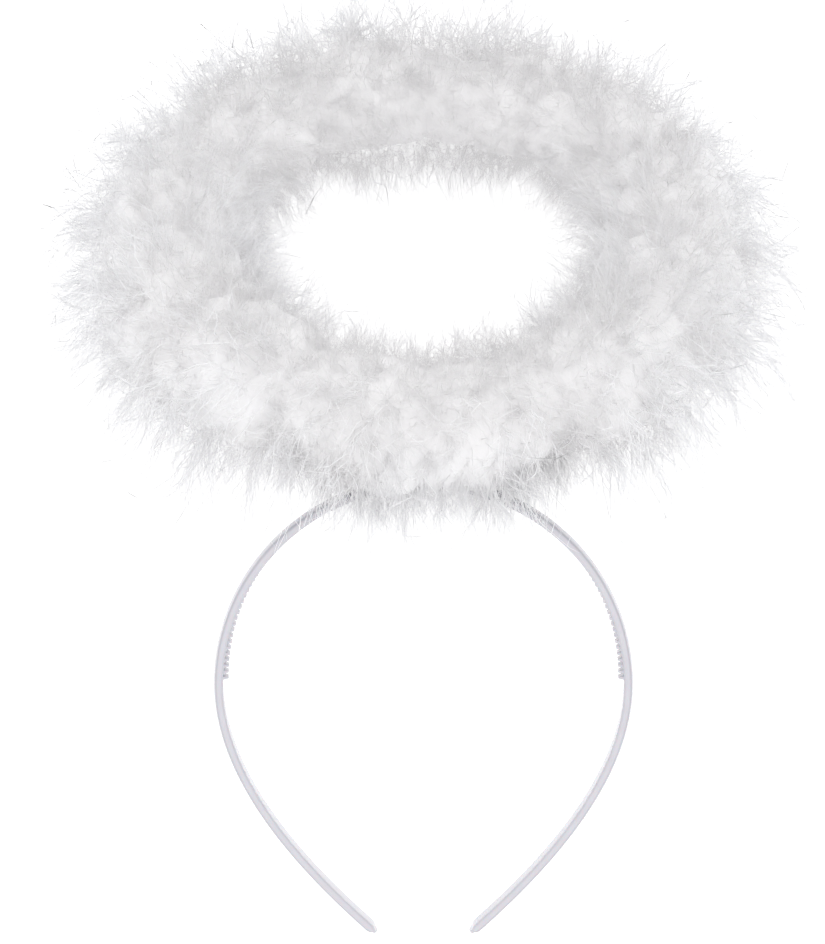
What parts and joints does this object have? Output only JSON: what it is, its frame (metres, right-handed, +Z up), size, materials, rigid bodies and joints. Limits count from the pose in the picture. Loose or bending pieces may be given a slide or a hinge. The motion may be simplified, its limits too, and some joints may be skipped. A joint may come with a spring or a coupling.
{
  "type": "feather halo headband",
  "caption": "White marabou feather halo on a wire ring, rising behind the crown of a white plastic alice band with a comb of teeth inside each side.",
  "frame": {"origin": "the floor under the middle of the whole headband, as it lies at rest on the band's two tips and the feathers of the halo's far edge", "axes": "+Z up from the floor; +Y from the band's tips to the far edge of the halo; +X across the band, to the right as seen from the tips"},
  "size_m": [0.2308, 0.3052, 0.1264],
  "materials": {
    "band_plastic": "gloss",
    "wire": "gloss",
    "feathers": "matte"
  },
  "bodies": {
    "root": {"headband": "band_plastic", "halo_wire": "wire", "feather_bunch_01": "feathers", "feather_bunch_02": "feathers", "feather_bunch_03": "feathers", "feather_bunch_04": "feathers", "feather_bunch_05": "feathers", "feather_bunch_06": "feathers", "feather_bunch_07": "feathers", "feather_bunch_08": "feathers", "feather_bunch_09": "feathers", "feather_bunch_10": "feathers", "feather_bunch_11": "feathers", "feather_bunch_12": "feathers"}
  },
  "joints": []
}
